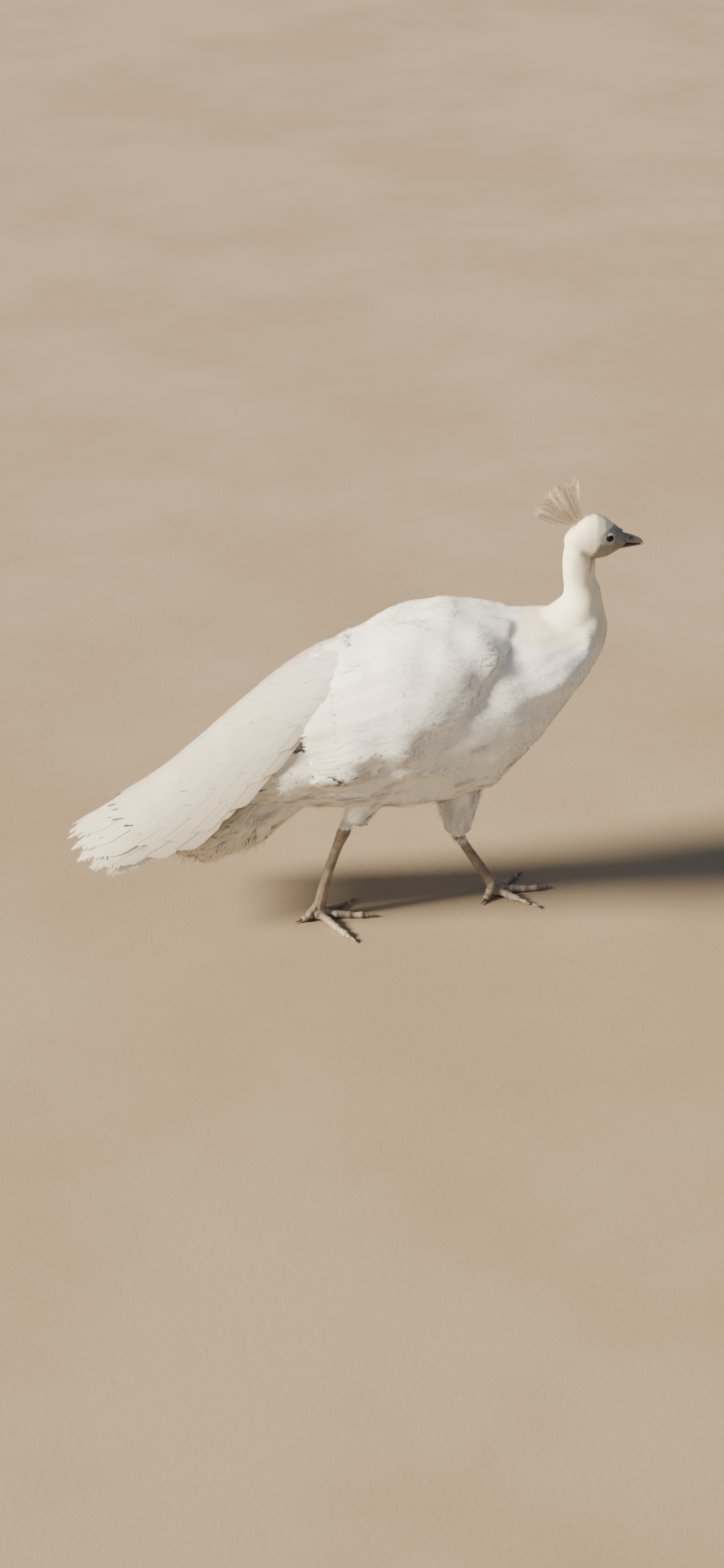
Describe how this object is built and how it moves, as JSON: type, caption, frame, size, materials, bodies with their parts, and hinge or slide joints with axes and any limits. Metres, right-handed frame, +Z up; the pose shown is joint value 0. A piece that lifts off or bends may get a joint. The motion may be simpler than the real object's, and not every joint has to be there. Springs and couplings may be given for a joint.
{
  "type": "white peafowl",
  "caption": "White peafowl without a long train, walking with its head up: fan crest raised, wings folded, tail closed and vaulted, feet one ahead of the other.",
  "frame": {"origin": "on the floor, under the middle of the bird's bounding box", "axes": "+X forwards, the way the bill points, +Y to the bird's left, +Z up"},
  "size_m": [0.705, 0.1988, 0.5843],
  "materials": {
    "plumage": "soft white contour feathers",
    "down": "loose white downy feathers",
    "bill": "horn grey, paler at the tip",
    "eye": "wet, dark brown iris",
    "leg_skin": "scaled skin, tan grey",
    "claw": "smooth horn"
  },
  "bodies": {
    "root": {"trunk": "plumage", "neck": "plumage", "head": "plumage", "crest": "plumage", "wing_left": "plumage", "wing_right": "plumage", "tail_coverts": "plumage", "tail_left": "plumage", "tail_right": "plumage", "vent": "down", "thigh_left": "down", "thigh_right": "down", "bill_upper": "bill", "bill_lower": "bill", "eye_left": "eye", "eye_right": "eye", "shank_left": "leg_skin", "shank_right": "leg_skin", "toe_inner_left": "leg_skin", "toe_middle_left": "leg_skin", "toe_outer_left": "leg_skin", "toe_hind_left": "leg_skin", "toe_inner_right": "leg_skin", "toe_middle_right": "leg_skin", "toe_outer_right": "leg_skin", "toe_hind_right": "leg_skin", "claw_inner_left": "claw", "claw_middle_left": "claw", "claw_outer_left": "claw", "claw_hind_left": "claw", "claw_inner_right": "claw", "claw_middle_right": "claw", "claw_outer_right": "claw", "claw_hind_right": "claw"}
  },
  "joints": []
}
